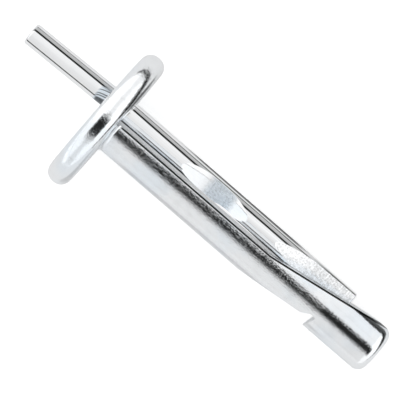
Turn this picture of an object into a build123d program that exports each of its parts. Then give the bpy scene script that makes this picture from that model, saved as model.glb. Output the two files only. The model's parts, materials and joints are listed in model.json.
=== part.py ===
"""Ceiling anchor: a hammer-set anchor of two zinc-plated steel pieces, lying on the rim of its head."""

import os
from math import asin, atan2, cos, degrees, hypot, radians, sin, tan

from build123d import *

# Driving dimensions, in millimetres and degrees. Distances along the anchor run from the underside of
# the head towards the tip, and heights run from the axis of the shank towards the pin.

# Head
head_diameter = 16.3
head_thickness = 2.6
head_rim_radius = 1.2
head_fillet = 0.4

# Shank and tip
shank_diameter = 5.3
shank_length = 34.45
nose_radius = 1.0

# Land under the pin, and the ramp that wedges it outwards
land_height = 0.69
land_edge_radius = 0.3
ramp_to_tip = 1.86
ramp_angle = 8.85
ramp_blend = 12.0

# Tapered back, neck and step behind it
tip_length = 6.98
taper_length = 7.7
taper_angle = 6.9
shoulder_length = 0.85
neck_height = 1.15
neck_length = 0.72
step_undercut = 18.0
shoulder_radius = 0.9
neck_radius = 0.6
root_radius = 0.15

# Expansion pin
pin_diameter = 2.4
pin_above_head = 10.05
pin_short_of_tip = 5.3
pin_end_radius = 0.22
pin_bend_angle = 1.8
pin_bend_radius = 60.0

# Swaged flats half way along the pin
swage_centre = 11.5
swage_length = 8.5
swage_depth = 0.7
swage_lean = 20.0

# Wedge end of the pin, pressed flat on both sides and scored across
wedge_lead = 0.5
wedge_flare_length = 4.2
wedge_knee_width = 1.12
wedge_end_width = 0.96
wedge_lean = 8.0
wedge_blend = 9.0
wedge_end_radius = 0.15
score_count = 6
score_pitch = 0.85
score_depth = 0.02
score_radius = 0.8

# Clearances
hole_clearance = 0.14
land_clearance = 0.15
ramp_clearance = 0.04

# Sizes that follow from these
head_radius = head_diameter / 2
shank_radius = shank_diameter / 2
pin_radius = pin_diameter / 2
hole_radius = pin_radius + hole_clearance
pin_height = land_height + land_clearance + pin_radius
ramp_rise = tan(radians(ramp_angle))
ramp_start = shank_length - ramp_to_tip - (shank_radius - land_height) / ramp_rise
step_start = shank_length - tip_length
neck_start = step_start - neck_length
shoulder_start = neck_start - shoulder_length
taper_start = shoulder_start - taper_length
pin_below_head = shank_length - pin_short_of_tip
wedge_start = ramp_start - wedge_lead
clear_of_shank = shank_radius + head_fillet + 0.5

# Lying on its side, the anchor touches the floor with the rim of its head and with its nose, so its
# axis slopes down to the tip.
rest_length = shank_length - nose_radius + head_rim_radius
rest_drop = (head_radius - head_rim_radius) - (shank_radius - nose_radius)
rest_lift = nose_radius - head_rim_radius
rest_slope = atan2(rest_drop, rest_length) - asin(rest_lift / hypot(rest_drop, rest_length))
axis_height = (
    head_rim_radius + (head_radius - head_rim_radius) * cos(rest_slope) - head_rim_radius * sin(rest_slope)
)

# The origin is under the middle of the anchor's length.
top_end = -(head_thickness + pin_above_head) * cos(rest_slope) - pin_radius * sin(rest_slope)
nose_offset = (shank_radius - nose_radius) * sin(rest_slope) + nose_radius
tip_end = (shank_length - nose_radius) * cos(rest_slope) + nose_offset
axis_start = -(top_end + tip_end) / 2

# Plane of symmetry: its x runs along the anchor and its y towards the pin.
side_plane = Plane(
    origin=(axis_start, 0, axis_height),
    x_dir=(cos(rest_slope), 0, -sin(rest_slope)),
    z_dir=(sin(rest_slope), 0, cos(rest_slope)),
)
anchor_axis = Axis(side_plane.origin, side_plane.x_dir)


def across(distance):
    """Plane square to the anchor, a distance from the underside of the head, with its x towards the pin."""
    return Plane(
        origin=side_plane.from_local_coords((distance, 0, 0)),
        x_dir=side_plane.y_dir,
        z_dir=side_plane.x_dir,
    )


def plan_at(distance, height):
    """Plane along the anchor that faces away from the pin side, with its y towards the viewer's side."""
    return Plane(
        origin=side_plane.from_local_coords((distance, height, 0)),
        x_dir=side_plane.x_dir,
        z_dir=-side_plane.y_dir,
    )


with BuildPart() as anchor_body:
    # Round shank with a rounded nose
    with BuildSketch(side_plane):
        with BuildLine():
            FilletPolyline(
                (-head_thickness / 2, 0),
                (-head_thickness / 2, shank_radius),
                (shank_length, shank_radius),
                (shank_length, 0),
                radius=[0, nose_radius],
            )
            Line((shank_length, 0), (-head_thickness / 2, 0))
        make_face()
    revolve(axis=anchor_axis)

    # Land along the shank, blended into the ramp
    ramp_end = ramp_start + (clear_of_shank - land_height) / ramp_rise
    with BuildSketch(side_plane):
        with BuildLine():
            FilletPolyline(
                (-head_thickness, clear_of_shank),
                (-head_thickness, land_height),
                (ramp_start, land_height),
                (ramp_end, clear_of_shank),
                radius=[0, ramp_blend],
            )
            Line((ramp_end, clear_of_shank), (-head_thickness, clear_of_shank))
        make_face()
    extrude(amount=shank_diameter, both=True, mode=Mode.SUBTRACT)

    # The long edges of the land and the ramp are rolled over
    rolled_edges = []
    for edge in anchor_body.edges(Select.LAST):
        middle = side_plane.to_local_coords(edge.center())
        if middle.X > 0 and abs(middle.Z) > shank_radius / 4:
            rolled_edges.append(edge)
    fillet(rolled_edges, radius=land_edge_radius)

    # Disc head, with a rounded root that the land runs through
    root_end = 2 * head_fillet
    with BuildSketch(side_plane):
        with BuildLine():
            FilletPolyline(
                (-head_thickness, 0),
                (-head_thickness, head_radius),
                (0, head_radius),
                (0, shank_radius),
                (root_end, shank_radius),
                (root_end, 0),
                radius=[head_rim_radius, head_rim_radius, head_fillet, 0],
            )
            Line((root_end, 0), (-head_thickness, 0))
        make_face()
    revolve(axis=anchor_axis)
    with BuildSketch(side_plane):
        with BuildLine():
            Polyline(
                (0, land_height),
                (root_end, land_height),
                (root_end, clear_of_shank),
                (0, clear_of_shank),
                close=True,
            )
        make_face()
    extrude(amount=shank_diameter, both=True, mode=Mode.SUBTRACT)

    # Tapered back that ends in a neck, with an undercut step behind it
    below = shank_radius + 1
    taper_rise = tan(radians(taper_angle))
    taper_lead = (below - shank_radius) / taper_rise
    shoulder_height = shank_radius - taper_length * taper_rise
    lip_reach = (below - neck_height) * tan(radians(step_undercut))
    with BuildSketch(side_plane):
        with BuildLine():
            FilletPolyline(
                (taper_start - taper_lead, -below),
                (shoulder_start, -shoulder_height),
                (neck_start, -neck_height),
                (step_start, -neck_height),
                (step_start - lip_reach, -below),
                radius=[shoulder_radius, neck_radius, root_radius],
            )
            Line((step_start - lip_reach, -below), (taper_start - taper_lead, -below))
        make_face()
    extrude(amount=shank_diameter, both=True, mode=Mode.SUBTRACT)

    # Hole in the head for the pin
    with BuildSketch(across(-head_thickness)):
        with Locations((pin_height, 0)):
            Circle(hole_radius)
    extrude(amount=head_thickness, mode=Mode.SUBTRACT)

anchor_body.part.label = "anchor_body"


with BuildPart() as expansion_pin:
    # Round wire, bent a little where it leaves the head
    top_distance = head_thickness + pin_above_head
    with BuildLine(side_plane) as pin_line:
        FilletPolyline(
            (pin_below_head, pin_height),
            (0, pin_height),
            (-top_distance, pin_height - top_distance * tan(radians(pin_bend_angle))),
            radius=pin_bend_radius,
        )
    with BuildSketch(across(pin_below_head)):
        with Locations((pin_height, 0)):
            Circle(pin_radius)
    sweep(path=pin_line.line)
    fillet(expansion_pin.faces().sort_by(anchor_axis)[0].edges(), radius=pin_end_radius)

    # Hollow flats swaged into both sides, leaning together under the pin
    swage_radius = ((swage_length / 2) ** 2 + swage_depth**2) / (2 * swage_depth)
    swage_plane = plan_at(swage_centre, pin_height)
    for lean in (swage_lean, 180 - swage_lean):
        with BuildSketch(swage_plane.rotated((lean, 0, 0))):
            with Locations((0, pin_radius - swage_depth + swage_radius)):
                Circle(swage_radius)
        extrude(amount=pin_diameter, both=True, mode=Mode.SUBTRACT)

    # Wedge end: the underside lies along the ramp
    underside_lift = land_height + ramp_clearance / cos(radians(ramp_angle))
    underside_start = ramp_start - pin_radius
    underside_end = pin_below_head + pin_radius
    with BuildSketch(side_plane):
        with BuildLine():
            Polyline(
                (underside_start, underside_lift + (underside_start - ramp_start) * ramp_rise),
                (underside_end, underside_lift + (underside_end - ramp_start) * ramp_rise),
                (underside_end, underside_lift + (underside_start - ramp_start) * ramp_rise),
                close=True,
            )
        make_face()
    extrude(amount=pin_diameter, both=True, mode=Mode.SUBTRACT)

    # Wedge end: both sides pressed flat, leaning together under the pin, and scored across
    wedge_length = pin_below_head - wedge_start
    wedge_reach = wedge_length + pin_radius
    side_taper = (wedge_knee_width - wedge_end_width) / 2 / (wedge_length - wedge_flare_length)
    reach_width = wedge_knee_width / 2 - (wedge_reach - wedge_flare_length) * side_taper
    wedge_plane = plan_at(wedge_start, pin_height)
    for side in (1, -1):
        with BuildSketch(wedge_plane.rotated((side * wedge_lean, 0, 0))):
            with BuildLine():
                FilletPolyline(
                    (0, side * pin_radius),
                    (wedge_flare_length, side * wedge_knee_width / 2),
                    (wedge_reach, side * reach_width),
                    radius=wedge_blend,
                )
                Polyline(
                    (wedge_reach, side * reach_width),
                    (wedge_reach, side * pin_diameter),
                    (0, side * pin_diameter),
                    (0, side * pin_radius),
                )
            make_face()
            for score in range(score_count):
                after_knee = (score + 0.5) * score_pitch
                floor = wedge_knee_width / 2 - after_knee * side_taper - score_depth
                with Locations((wedge_flare_length + after_knee, side * (floor + score_radius))):
                    Circle(score_radius)
        extrude(amount=pin_diameter, both=True, mode=Mode.SUBTRACT)
    fillet(expansion_pin.faces().sort_by(anchor_axis)[-1].edges(), radius=wedge_end_radius)

expansion_pin.part.label = "expansion_pin"


os.makedirs("parts", exist_ok=True)
export_step(anchor_body.part, "parts/anchor_body.step")
export_step(expansion_pin.part, "parts/expansion_pin.step")
print("slope at rest, degrees:", round(degrees(rest_slope), 3))
print("axis start and height:", round(axis_start, 3), round(axis_height, 3))
print("pin height:", round(pin_height, 3))
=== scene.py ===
"""Ceiling anchor of bright zinc-plated steel, lying on a white table under soft light."""

import json
from math import cos, radians, sin

import bpy
from mathutils import Matrix, Vector

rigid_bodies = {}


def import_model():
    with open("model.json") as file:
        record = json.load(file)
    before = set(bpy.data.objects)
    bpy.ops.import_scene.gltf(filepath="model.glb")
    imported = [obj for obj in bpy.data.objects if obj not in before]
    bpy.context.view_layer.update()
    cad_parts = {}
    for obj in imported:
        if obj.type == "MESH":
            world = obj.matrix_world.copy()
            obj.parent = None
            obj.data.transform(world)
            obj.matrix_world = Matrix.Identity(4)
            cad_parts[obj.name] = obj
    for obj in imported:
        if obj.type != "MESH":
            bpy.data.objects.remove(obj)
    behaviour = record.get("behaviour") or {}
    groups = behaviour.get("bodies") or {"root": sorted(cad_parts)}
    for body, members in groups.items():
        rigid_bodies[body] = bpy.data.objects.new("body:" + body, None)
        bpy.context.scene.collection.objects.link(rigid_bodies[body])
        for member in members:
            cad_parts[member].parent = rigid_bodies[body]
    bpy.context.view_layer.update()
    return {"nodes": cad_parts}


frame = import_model()
for thing in bpy.context.scene.objects:
    thing.select_set(False)

MM = 0.001
IN_MM = 1000.0
IN_DEGREES = 57.29578
ORIGIN = (0.0, 0.0, 0.0)
WHITE = (1.0, 1.0, 1.0)

# Where the anchor lies: the middle of the head's underside, and the slope of its axis down to the tip
UNDER_HEAD = Vector((-10.807, 0.0, 7.876)) * MM
SLOPE = radians(9.023)
ALONG = Vector((cos(SLOPE), 0, -sin(SLOPE)))
TOWARD = Vector((0, 1, 0))
OUT = Vector((sin(SLOPE), 0, cos(SLOPE)))

# The camera looks down on the anchor, a little from the pin's side and from the head's side. Its
# distances are in metres, and its lens and sensor in millimetres.
TURN = radians(40.9)
LEAN = radians(4.0)
TILT = radians(1.0)
FACING = (OUT * cos(LEAN) * cos(TILT) + TOWARD * sin(LEAN) - ALONG * sin(TILT)).normalized()
LENGTHWISE = (ALONG - FACING * ALONG.dot(FACING)).normalized()
CROSSWISE = FACING.cross(LENGTHWISE)
AIM_ALONG = 11.06 * MM
AIM_TOWARD = 0.08 * MM
CAMERA_DISTANCE = 0.4
FOCAL_LENGTH = 360.0
SENSOR_WIDTH = 36.0
NEAREST_SEEN = 0.01
FARTHEST_SEEN = 10.0

# Sizes of the anchor, in millimetres. Distances along it run from the head's underside to the tip, and
# heights from its axis towards the pin. Below, a pair of numbers is where a soft edge starts and ends.
LAND_HEIGHT = 0.69
RAMP_START = 20.0
RAMP_RISE = 0.1557
PIN_HEIGHT = 2.04
PIN_RADIUS = 1.2
SWAGE_MIDDLE = 11.5
WEDGE_START = 19.5

# Places on the body, in millimetres: along it, out from its axis, and below the face of the land
TIP_FROM = (27.2, 27.6)
HEAD_FROM = (2.9, 3.4)
LAND_FACE_TO = (0.0, 0.04)
# Painted shade: a dark line painted along the edge of the land, beside the pin, where the gap between
# pin and body is in shade
CREVICE_SHADE_ALONG_FROM = (0.2, 0.6)
CREVICE_SHADE_OUT_FROM = (2.38, 2.50)
CREVICE_SHADE_TOP = 0.025
CREVICE_SHADE_FOOT = 0.20
CREVICE_SHADE_SOFT = 0.012

# Grain of the body's zinc
BODY_CLOUD_SIZE = 6.0 * MM
BODY_CLOUD_LEVELS = (0.42, 0.66)
SWIRL_SIZE = 1.6 * MM
SWIRL_LEVELS = (0.5, 0.7)
SWIRL_DEPTH = 0.005 * MM
DIMPLE_SIZE = 0.50 * MM
DIMPLE_DEPTH = 0.005 * MM
SPECK_SIZE = 0.15 * MM
SPECK_LEVELS = (0.46, 0.74)
SPECK_DEPTH = 0.0085 * MM
SPECKS_WORN_OFF_TIP = 0.6
SPECKS_WORN_OFF_HEAD = 0.4
SPECKS_WORN_OFF_LAND = 0.5

# Colour and gloss of the body's zinc
BODY_SILVER = (0.875, 0.890, 0.905, 1.0)
BODY_BLUE = (0.820, 0.868, 0.912, 1.0)
BODY_MOTTLE = 0.04
# Painted shade along the edge of the land, beside the pin
PAINTED_CREVICE_SHADE = 0.96
BODY_ROUGHNESS = 0.13
FORMED_POLISH = 0.04
BODY_GRAIN_ROUGHNESS = 0.08

# Places on the pin, in millimetres: along it, and out from its middle
PIN_BELOW_HEAD = (1.0, 3.0)
PRESSED_TO = (PIN_RADIUS - 0.06, PIN_RADIUS - 0.015)
SWAGE_FLOOR_START = SWAGE_MIDDLE - 0.3
SWAGE_FLOOR_END = SWAGE_MIDDLE + 1.8
SWAGE_FLOOR_SOFT = 0.9
WEDGE_FROM = (WEDGE_START - 0.1, WEDGE_START + 0.3)

# A patch painted on the side of the pin that faces out, in millimetres: a bluish tint and dark lines
# painted as reflections, with painted shade below them. They follow a curve that rises from its foot,
# and the painted shade starts at a share of the curve's length.
PATCH_CURVE_START = -3.85
PATCH_CURVE_LENGTH = 1.25
PATCH_CURVE_FOOT = 1.95
PATCH_CURVE_RISE = 0.57
PATCH_START = -3.65
PATCH_END = -2.0
PATCH_SOFT = 0.25
PATCH_OUT_FROM = (0.0, 0.3)
PATCH_UP_TO = (0.10, 0.40)
PATCH_LEFT_ABOVE = 0.25
PAINTED_REFLECTION_LINE_HEIGHTS = (-0.13, -0.55, -0.79)
PAINTED_SHADE_UP_TO = (-1.10, -0.98)
PAINTED_SHADE_FROM = (0.1, 0.3)
PAINTED_SHADE_OUT_FROM = (0.15, 0.45)

# Painted reflection: a dark line painted along the pin, on the side that faces out, towards the body,
# and the width that it shares with the painted reflection lines of the patch, in millimetres
REFLECTION_LINE_LIFT = -0.725
REFLECTION_LINE_OUT_FROM = (0.2, 0.6)
LINE_HALF_WIDTH = 0.035
LINE_SOFT = 0.03

# Grain of the pin's zinc. A share under 1 stretches the grain along, towards or out.
DRAWN_SIZE = 0.10 * MM
DRAWN_SHARES = (0.03, 1.0, 1.0)
DRAWN_DEPTH = 0.0006 * MM
PIN_CLOUD_SIZE = 4.0 * MM
PIN_CLOUD_LEVELS = (0.4, 0.7)
PRESSED_SIZE = 0.20 * MM
PRESSED_LEVELS = (0.45, 0.62)
PRESSED_DEPTH = 0.0154 * MM
RIDGE_SIZE = 0.35 * MM
RIDGE_SHARES = (1.0, 0.35, 0.35)
RIDGE_DEPTH = 0.022 * MM

# Colour and gloss of the pin's zinc
PIN_SILVER = (0.905, 0.912, 0.918, 1.0)
PIN_BLUE = (0.660, 0.715, 0.765, 1.0)
# Painted reflection: the bluish tint of the patch beside the head
PAINTED_REFLECTION_BLUE = (0.70, 0.78, 0.85, 1.0)
PIN_CLOUD_BLUE_SHARE = 0.12
SWAGE_BLUE_SHARE = 0.95
PAINTED_REFLECTION_BLUE_SHARE = 0.8
SWAGE_MOTTLE = 0.24
WEDGE_MOTTLE = 0.18
# Painted reflection lines and painted shade on the patch beside the head, and a dark line painted as a
# reflection along the pin
PAINTED_REFLECTION_LINE_SHADE = 0.80
PAINTED_SHADE_DARKNESS = 0.78
REFLECTION_LINE_SHADE = 0.75
PIN_ROUGHNESS = 0.06
DRAWN_ROUGHNESS = 0.03
SWAGE_ROUGHNESS = 0.20
WEDGE_ROUGHNESS = 0.10
PATCH_ROUGHNESS = 0.24

# White table
TABLE_SIZE = 0.8
TABLE_SQUARES = 8
PAINT_LIGHT = (0.88, 0.88, 0.88, 1.0)
PAINT_DARK = (0.86, 0.86, 0.86, 1.0)
PAINT_SPECK_SIZE = 0.5 * MM
TABLE_ROUGHNESS = 0.9
TABLE_GLOW = 0.42

# Painted shadow on the table beside the head, the pin and the tip, which polished metal alone sees, in
# millimetres: how dark each is, and then where it starts and ends and how soft its edge is, along the
# table and across it. A far place of painted shade, which polished metal alone sees too, lies slantwise
# behind them.
TABLE_PAINTED_SHADOWS = (
    (0.25, (-8.0, 16.0, 3.0), (-17.0, -10.0, 2.0)),
    (0.8, (-3.0, 9.0, 3.0), (4.0, 12.0, 2.0)),
    (0.88, (15.0, 60.0, 4.0), (8.0, 24.0, 1.5)),
)
FAR_SHADE_WAY = 0.8 * TOWARD + 0.6 * ALONG
FAR_SHADE_START = (22.0, 34.0)
FAR_SHADE_END = (120.0, 180.0)
FAR_PAINTED_SHADE = 0.96

# Dark places in the white room, in degrees: a broad gap above the anchor, slits, each with how dark it
# is, and a skirting low down. A side is an angle round the anchor, from above it towards the pin. Ends
# are angles off square to the anchor, and a height is an angle above level. The two places that are
# crosswise or lengthwise, and the skirting's start and end, are parts of a step that is 1 long.
GAP_START = (-46.0, -24.0)
GAP_END = (-1.0, 9.0)
GAP_ENDS = (30.0, 40.0)
GAP_SHADE = 0.985
GAP_SWING = 9.0
SWING_LENGTHWISE = (0.01, 0.09)
SWING_ENDS = (6.0, 9.0)
SLITS = ((0.97, (40.0, 57.0, 3.0)), (0.95, (-92.0, -80.0, 2.0)), (0.45, (60.0, 110.0, 3.0)))
SKIRTING_HEIGHT = (-14.0, 5.0, 3.0)
SKIRTING_CROSSWISE = (0.05, 0.15)
SKIRTING_START = (0.50, 0.65)
SKIRTING_END = (0.93, 0.98)
SKIRTING_SHADE = 0.9
ROOM_LEVEL = 0.84
BRIGHTER_SIDE = (-40.0, 10.0)
BRIGHTER_SIDE_BY = 0.14
BRIGHTER_ENDS = (6.0, 18.0)
BRIGHTER_ENDS_BY = 0.3

# Far screens, in metres
PIN_SCREEN_RADIUS = 0.90
BODY_SCREEN_RADIUS = 0.95
SCREEN_SEGMENTS = 48
SCREEN_RINGS = 24


class Value:
    """A number or vector that changes over a surface, for use in plain sums."""

    def __init__(self, shader, socket):
        self.shader = shader
        self.socket = socket

    def __add__(self, other):
        return self.shader.maths("ADD", self, other)

    def __radd__(self, other):
        return self.shader.maths("ADD", other, self)

    def __sub__(self, other):
        return self.shader.maths("SUBTRACT", self, other)

    def __rsub__(self, other):
        return self.shader.maths("SUBTRACT", other, self)

    def __mul__(self, other):
        return self.shader.maths("MULTIPLY", self, other)

    def __rmul__(self, other):
        return self.shader.maths("MULTIPLY", other, self)

    def __abs__(self):
        return self.shader.maths("ABSOLUTE", self)


class Shader:
    """Adds nodes to the node tree of one material or of the world."""

    def __init__(self, owner):
        owner.use_nodes = True
        self.tree = owner.node_tree
        self.tree.nodes.clear()

    def node(self, kind, settings=None, sockets=None, out=0):
        """Adds one node: its settings are set first, and then the values or links of its sockets."""
        made = self.tree.nodes.new(kind)
        for name, value in (settings or {}).items():
            setattr(made, name, value)
        for name, value in (sockets or {}).items():
            if isinstance(value, Value):
                self.tree.links.new(value.socket, made.inputs[name])
            else:
                made.inputs[name].default_value = value
        return Value(self, made.outputs[out]) if made.outputs else None

    def maths(self, operation, *values):
        return self.node("ShaderNodeMath", {"operation": operation}, dict(enumerate(values)))

    def distance_along(self, place, origin, direction):
        """How far a place lies from an origin in one direction, in the units of the place."""
        apart = self.node(
            "ShaderNodeVectorMath", {"operation": "SUBTRACT"}, {0: place, 1: tuple(origin)}
        )
        return self.node(
            "ShaderNodeVectorMath",
            {"operation": "DOT_PRODUCT"},
            {0: apart, 1: tuple(direction)},
            out="Value",
        )

    def rise(self, value, low, high, bottom=0.0, top=1.0):
        """Goes smoothly from bottom to top as a value passes from low to high."""
        return self.node(
            "ShaderNodeMapRange",
            {"interpolation_type": "SMOOTHSTEP", "clamp": True},
            {"Value": value, "From Min": low, "From Max": high, "To Min": bottom, "To Max": top},
        )

    def fall(self, value, low, high, bottom=0.0):
        """Goes smoothly from 1 to bottom as a value passes from low to high."""
        return self.rise(value, low, high, 1.0, bottom)

    def within(self, value, low, high, edge):
        """One between low and high, and nothing outside, with soft edges."""
        return self.rise(value, low - edge, low) * self.fall(value, high, high + edge)

    def line(self, value, middle):
        """One on a fine line where a value in millimetres is at its middle, and nothing beside it."""
        return self.within(value, middle - LINE_HALF_WIDTH, middle + LINE_HALF_WIDTH, LINE_SOFT)

    def noise(self, place, size, detail=2.0, roughness=0.5):
        """Cloudy noise from 0 to 1 whose grains are about a size across, in metres."""
        return self.node(
            "ShaderNodeTexNoise",
            {"noise_dimensions": "3D"},
            {"Vector": place, "Scale": 1.0 / size, "Detail": detail, "Roughness": roughness},
        )

    def stretched(self, place, shares):
        """Turns a place into steps along, towards and out, each scaled by its share."""
        along = self.distance_along(place, UNDER_HEAD, ALONG) * shares[0]
        toward = self.distance_along(place, UNDER_HEAD, TOWARD) * shares[1]
        out = self.distance_along(place, UNDER_HEAD, OUT) * shares[2]
        return self.node("ShaderNodeCombineXYZ", sockets={"X": along, "Y": toward, "Z": out})

    def blend(self, share, first, second):
        """Goes from one colour to another as the share goes from 0 to 1."""
        return self.node(
            "ShaderNodeMix",
            {"data_type": "RGBA", "clamp_factor": True},
            {0: share, 6: first, 7: second},
            out=2,
        )

    def tint(self, colour, amount):
        """Multiplies a colour by an amount that changes over the surface."""
        return self.node(
            "ShaderNodeVectorMath", {"operation": "SCALE"}, {0: colour, "Scale": amount}
        )

    def bump(self, height, depth, under=None):
        """Raises the surface by a height from 0 to 1, times a depth in metres."""
        sockets = {"Strength": 1.0, "Distance": depth, "Height": height}
        if under is not None:
            sockets["Normal"] = under
        return self.node("ShaderNodeBump", sockets=sockets)

    def plating(self, colour, roughness, surface):
        """Ends a material as polished metal."""
        finish = self.node(
            "ShaderNodeBsdfPrincipled",
            sockets={
                "Base Color": colour,
                "Metallic": 1.0,
                "Roughness": roughness,
                "Normal": surface,
            },
        )
        self.node("ShaderNodeOutputMaterial", sockets={"Surface": finish})

    def glowing(self, under, brightness):
        """Ends a material as one that glows white on top of the shader under it."""
        glow = self.node("ShaderNodeEmission", sockets={"Color": self.tint(WHITE, brightness)})
        both = self.node("ShaderNodeAddShader", sockets={0: under, 1: glow})
        self.node("ShaderNodeOutputMaterial", sockets={"Surface": both})


def anchor_places(shader):
    """Object coordinates, and millimetres along the anchor, towards the pin and out of its side."""
    place = shader.node("ShaderNodeTexCoord", out="Object")
    along = shader.distance_along(place, UNDER_HEAD, ALONG) * IN_MM
    toward = shader.distance_along(place, UNDER_HEAD, TOWARD) * IN_MM
    out = shader.distance_along(place, UNDER_HEAD, OUT) * IN_MM
    return place, along, toward, out


def zinc_on_body():
    """Bright zinc on the cold-headed body: fine grain, faint bluish clouds, and painted shade along the
    edge of the land.
    """
    material = bpy.data.materials.new("body_zinc_plating")
    shader = Shader(material)
    place, along, toward, out = anchor_places(shader)
    radius = shader.maths("SQRT", toward * toward + out * out)

    # The head, the tip, the land with its ramp, and a dark line of painted shade along the edge of the
    # land, where the gap beside the pin is in shade
    head = shader.rise(radius, *HEAD_FROM)
    tip = shader.rise(along, *TIP_FROM)
    land = LAND_HEIGHT + RAMP_RISE * shader.maths("MAXIMUM", along - RAMP_START, 0.0)
    below_land = land - toward
    land_face = shader.fall(below_land, *LAND_FACE_TO) * (1.0 - head)
    painted_crevice_shade = shader.within(below_land, CREVICE_SHADE_TOP, CREVICE_SHADE_FOOT, CREVICE_SHADE_SOFT)
    painted_crevice_shade = painted_crevice_shade * shader.rise(radius, *CREVICE_SHADE_OUT_FROM) * shader.rise(along, *CREVICE_SHADE_ALONG_FROM)

    clouds = shader.noise(place, BODY_CLOUD_SIZE, detail=3.0)
    swirl = shader.noise(place, SWIRL_SIZE)
    dimples = shader.noise(place, DIMPLE_SIZE, roughness=0.55)
    specks = shader.rise(shader.noise(place, SPECK_SIZE, roughness=0.6), *SPECK_LEVELS)
    specks = specks * (1.0 - SPECKS_WORN_OFF_TIP * tip) * (1.0 - SPECKS_WORN_OFF_HEAD * head)
    specks = specks * (1.0 - SPECKS_WORN_OFF_LAND * land_face)

    colour = shader.blend(shader.rise(clouds, *BODY_CLOUD_LEVELS), BODY_SILVER, BODY_BLUE)
    mottle = BODY_MOTTLE * (specks + shader.rise(swirl, *SWIRL_LEVELS))
    # Painted shade darkens the colour along the edge of the land
    colour = shader.tint(colour, (1.0 - mottle) * (1.0 - PAINTED_CREVICE_SHADE * painted_crevice_shade))

    roughness = BODY_ROUGHNESS - FORMED_POLISH * (head + tip)
    roughness = roughness + BODY_GRAIN_ROUGHNESS * (dimples - 0.5 + specks)

    surface = shader.bump(swirl, SWIRL_DEPTH)
    surface = shader.bump(dimples, DIMPLE_DEPTH, surface)
    surface = shader.bump(specks, SPECK_DEPTH, surface)
    shader.plating(colour, roughness, surface)
    return material


def painted_patch_on_pin(shader, along, toward, out):
    """Where a patch is painted on one side of the pin, beside the head: its painted reflection lines
    and its painted shade.
    """
    reach = (along - PATCH_CURVE_START) * (1.0 / PATCH_CURVE_LENGTH)
    reach = shader.maths("MAXIMUM", reach, 0.0)
    above = toward - PATCH_CURVE_FOOT - PATCH_CURVE_RISE * shader.maths("SQRT", reach)

    painted_patch = shader.within(along, PATCH_START, PATCH_END, PATCH_SOFT)
    painted_patch = painted_patch * shader.rise(out, *PATCH_OUT_FROM)
    painted_patch = painted_patch * shader.fall(above, *PATCH_UP_TO, PATCH_LEFT_ABOVE)
    painted_reflection_lines = sum(shader.line(above, middle) for middle in PAINTED_REFLECTION_LINE_HEIGHTS)
    painted_shade = shader.fall(above, *PAINTED_SHADE_UP_TO) * shader.rise(reach, *PAINTED_SHADE_FROM)
    painted_shade = painted_shade * shader.rise(out, *PAINTED_SHADE_OUT_FROM)
    return painted_patch, painted_reflection_lines, painted_shade


def zinc_on_pin():
    """Bright zinc on drawn wire: painted reflections and painted shade beside the head and along it,
    duller where it is swaged or pressed.
    """
    material = bpy.data.materials.new("pin_zinc_plating")
    shader = Shader(material)
    place, along, toward, out = anchor_places(shader)
    lift = toward - PIN_HEIGHT
    radius = shader.maths("SQRT", lift * lift + out * out)

    # The swaged flats, the wedge end, the painted patch beside the head, and a dark line painted as a
    # reflection along the round wire
    below_head = shader.rise(along, *PIN_BELOW_HEAD)
    pressed = shader.fall(radius, *PRESSED_TO) * below_head
    swaged = shader.within(along, SWAGE_FLOOR_START, SWAGE_FLOOR_END, SWAGE_FLOOR_SOFT) * pressed
    wedged = shader.rise(along, *WEDGE_FROM) * pressed
    painted_patch, painted_reflection_lines, painted_shade = painted_patch_on_pin(shader, along, toward, out)
    # Painted reflection: a dark line painted along the wire
    painted_reflection_line = shader.line(lift, REFLECTION_LINE_LIFT) * shader.rise(out, *REFLECTION_LINE_OUT_FROM)
    painted_reflection_line = painted_reflection_line * below_head * (1.0 - pressed)

    clouds = shader.rise(shader.noise(place, PIN_CLOUD_SIZE, detail=3.0), *PIN_CLOUD_LEVELS)
    drawn = shader.noise(shader.stretched(place, DRAWN_SHARES), DRAWN_SIZE)
    grain = shader.noise(place, PRESSED_SIZE, detail=3.0, roughness=0.6)
    ridges = shader.noise(shader.stretched(place, RIDGE_SHARES), RIDGE_SIZE)

    blue_share = PIN_CLOUD_BLUE_SHARE * clouds + SWAGE_BLUE_SHARE * swaged
    colour = shader.blend(blue_share, PIN_SILVER, PIN_BLUE)
    # Painted reflection and painted shade: the patch beside the head is tinted blue and darkened, and a
    # dark line is painted along the pin
    colour = shader.blend(PAINTED_REFLECTION_BLUE_SHARE * painted_patch, colour, PAINTED_REFLECTION_BLUE)
    mottle = shader.rise(grain, *PRESSED_LEVELS) * (SWAGE_MOTTLE * swaged + WEDGE_MOTTLE * wedged)
    painted_reflection_and_shade = painted_patch * (PAINTED_REFLECTION_LINE_SHADE * painted_reflection_lines + PAINTED_SHADE_DARKNESS * painted_shade) + REFLECTION_LINE_SHADE * painted_reflection_line
    colour = shader.tint(colour, (1.0 - mottle) * (1.0 - painted_reflection_and_shade))

    roughness = PIN_ROUGHNESS + DRAWN_ROUGHNESS * drawn + SWAGE_ROUGHNESS * swaged
    roughness = roughness + WEDGE_ROUGHNESS * wedged + PATCH_ROUGHNESS * painted_patch

    surface = shader.bump(drawn, DRAWN_DEPTH)
    surface = shader.bump(ridges * wedged, RIDGE_DEPTH, surface)
    surface = shader.bump(grain * (wedged + swaged), PRESSED_DEPTH, surface)
    shader.plating(colour, roughness, surface)
    return material


def finish_nodes():
    """Gives each steel piece its plating."""
    finishes = {"anchor_body": zinc_on_body(), "expansion_pin": zinc_on_pin()}
    for name, material in finishes.items():
        for slot in frame["nodes"][name].material_slots:
            slot.material = material


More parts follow.
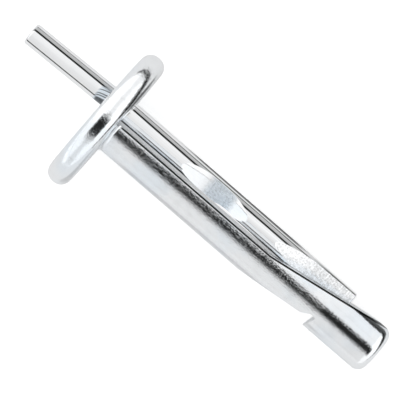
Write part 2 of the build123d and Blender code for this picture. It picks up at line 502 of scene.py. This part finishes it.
def white_table():
    """A plain white table under the anchor. Polished metal also sees painted shadow and painted shade
    on it.
    """
    bpy.ops.mesh.primitive_grid_add(
        x_subdivisions=TABLE_SQUARES, y_subdivisions=TABLE_SQUARES, size=TABLE_SIZE, location=ORIGIN
    )
    table = bpy.context.object
    table.name = "white_table"
    material = bpy.data.materials.new("table_white")
    shader = Shader(material)
    place = shader.node("ShaderNodeTexCoord", out="Object")
    paint = shader.blend(shader.noise(place, PAINT_SPECK_SIZE), PAINT_DARK, PAINT_LIGHT)

    lengthwise = shader.distance_along(place, ORIGIN, (1.0, 0.0, 0.0)) * IN_MM
    crosswise = shader.distance_along(place, ORIGIN, (0.0, 1.0, 0.0)) * IN_MM
    slantwise = shader.distance_along(place, ORIGIN, FAR_SHADE_WAY) * IN_MM
    # Painted shade far off and painted shadow beside the anchor, in the colour that polished metal
    # alone sees
    far_painted_shade = shader.rise(slantwise, *FAR_SHADE_START) * shader.fall(crosswise, *FAR_SHADE_END)
    bright = 1.0 - FAR_PAINTED_SHADE * far_painted_shade
    for shade, lengths, widths in TABLE_PAINTED_SHADOWS:
        dark = shader.within(lengthwise, *lengths) * shader.within(crosswise, *widths)
        bright = bright * (1.0 - shade * dark)
    mirrored = shader.node("ShaderNodeLightPath", out="Is Glossy Ray")
    paint = shader.tint(paint, 1.0 - mirrored * (1.0 - bright))

    matt = shader.node(
        "ShaderNodeBsdfPrincipled",
        sockets={"Base Color": paint, "Roughness": TABLE_ROUGHNESS, "Specular IOR Level": 0.0},
    )
    seen = shader.node("ShaderNodeLightPath", out="Is Camera Ray")
    shader.glowing(matt, TABLE_GLOW * seen)
    table.data.materials.append(material)


def room_parts(shader, way):
    """How bright the white room is in polished metal, and how dark its gap, its skirting and its slits
    are, by the way in which the metal looks."""
    facing = shader.distance_along(way, ORIGIN, FACING)
    crosswise = shader.distance_along(way, ORIGIN, CROSSWISE)
    lengthwise = shader.distance_along(way, ORIGIN, LENGTHWISE)
    upright = shader.distance_along(way, ORIGIN, (0.0, 0.0, 1.0))
    side = shader.maths("ARCTAN2", crosswise, facing) * IN_DEGREES
    end = abs(shader.maths("ARCSINE", lengthwise)) * IN_DEGREES
    height = shader.maths("ARCSINE", upright) * IN_DEGREES

    swing = shader.rise(lengthwise, *SWING_LENGTHWISE) * shader.fall(end, *SWING_ENDS)
    swung = side - GAP_SWING * swing
    gap = shader.rise(swung, *GAP_START) * shader.fall(swung, *GAP_END)
    gap = GAP_SHADE * gap * shader.fall(end, *GAP_ENDS)

    skirting = shader.within(height, *SKIRTING_HEIGHT) * shader.rise(crosswise, *SKIRTING_CROSSWISE)
    skirting = skirting * shader.rise(lengthwise, *SKIRTING_START)
    skirting = SKIRTING_SHADE * skirting * shader.fall(lengthwise, *SKIRTING_END)

    slits = sum(shade * shader.within(side, *sides) for shade, sides in SLITS)

    level = ROOM_LEVEL + BRIGHTER_SIDE_BY * shader.rise(side, *BRIGHTER_SIDE)
    level = level + BRIGHTER_ENDS_BY * shader.rise(end, *BRIGHTER_ENDS)
    return level, gap, skirting, slits


def room_light():
    """An even white room, whose dark places stay where they are and show in polished metal alone."""
    world = bpy.data.worlds.new("white_room")
    bpy.context.scene.world = world
    shader = Shader(world)
    way = shader.node("ShaderNodeTexCoord", out="Generated")
    level, gap, skirting, slits = room_parts(shader, way)
    level = level * (1.0 - gap) * (1.0 - skirting) * (1.0 - slits)

    mirrored = shader.node("ShaderNodeLightPath", out="Is Glossy Ray")
    colour = shader.tint(WHITE, 1.0 - mirrored * (1.0 - level))
    back = shader.node("ShaderNodeBackground", sockets={"Color": colour})
    shader.node("ShaderNodeOutputWorld", sockets={"Surface": back})


def filled_for_pin(level, gap, skirting, slits):
    """Light in the gap and the skirting, so that the pin shows only the slits."""
    return level * (1.0 - slits) * (1.0 - (1.0 - gap) * (1.0 - skirting))


def filled_for_body(level, gap, skirting, slits):
    """Light in the slits, so that the body shows only the gap and the skirting."""
    return level * slits * (1.0 - gap) * (1.0 - skirting)


def screen(name, piece, radius, filled):
    """A far round screen that one piece alone mirrors. It lights up some of the room's dark places."""
    bpy.ops.mesh.primitive_uv_sphere_add(
        segments=SCREEN_SEGMENTS, ring_count=SCREEN_RINGS, radius=radius
    )
    round_screen = bpy.context.object
    round_screen.name = name
    material = bpy.data.materials.new(name)
    material.cycles.emission_sampling = "NONE"
    shader = Shader(material)
    place = shader.node("ShaderNodeTexCoord", out="Object")
    way = shader.node("ShaderNodeVectorMath", {"operation": "NORMALIZE"}, {0: place})
    clear = shader.node("ShaderNodeBsdfTransparent")
    shader.glowing(clear, filled(*room_parts(shader, way)))
    round_screen.data.materials.append(material)
    round_screen.visible_camera = False
    round_screen.visible_diffuse = False
    round_screen.visible_transmission = False
    round_screen.visible_shadow = False
    lit = bpy.data.collections.new(name + "_lights")
    lit.objects.link(frame["nodes"][piece])
    round_screen.light_linking.receiver_collection = lit


def photo_camera():
    """A long lens that looks down on the anchor, which lies slantwise across the picture."""
    camera = bpy.data.objects.new("camera", bpy.data.cameras.new("camera"))
    bpy.context.scene.collection.objects.link(camera)
    target = UNDER_HEAD + ALONG * AIM_ALONG + TOWARD * AIM_TOWARD
    right = LENGTHWISE * cos(TURN) + CROSSWISE * sin(TURN)
    up = CROSSWISE * cos(TURN) - LENGTHWISE * sin(TURN)
    turned = Matrix((right, up, FACING)).transposed().to_4x4()
    camera.matrix_world = Matrix.Translation(target + FACING * CAMERA_DISTANCE) @ turned
    camera.data.sensor_width = SENSOR_WIDTH
    camera.data.lens = FOCAL_LENGTH
    camera.data.clip_start = NEAREST_SEEN
    camera.data.clip_end = FARTHEST_SEEN
    bpy.context.scene.camera = camera


finish_nodes()
white_table()
room_light()
screen("screen_for_pin", "expansion_pin", PIN_SCREEN_RADIUS, filled_for_pin)
screen("screen_for_body", "anchor_body", BODY_SCREEN_RADIUS, filled_for_body)
photo_camera()
bpy.context.scene.view_settings.view_transform = "Standard"
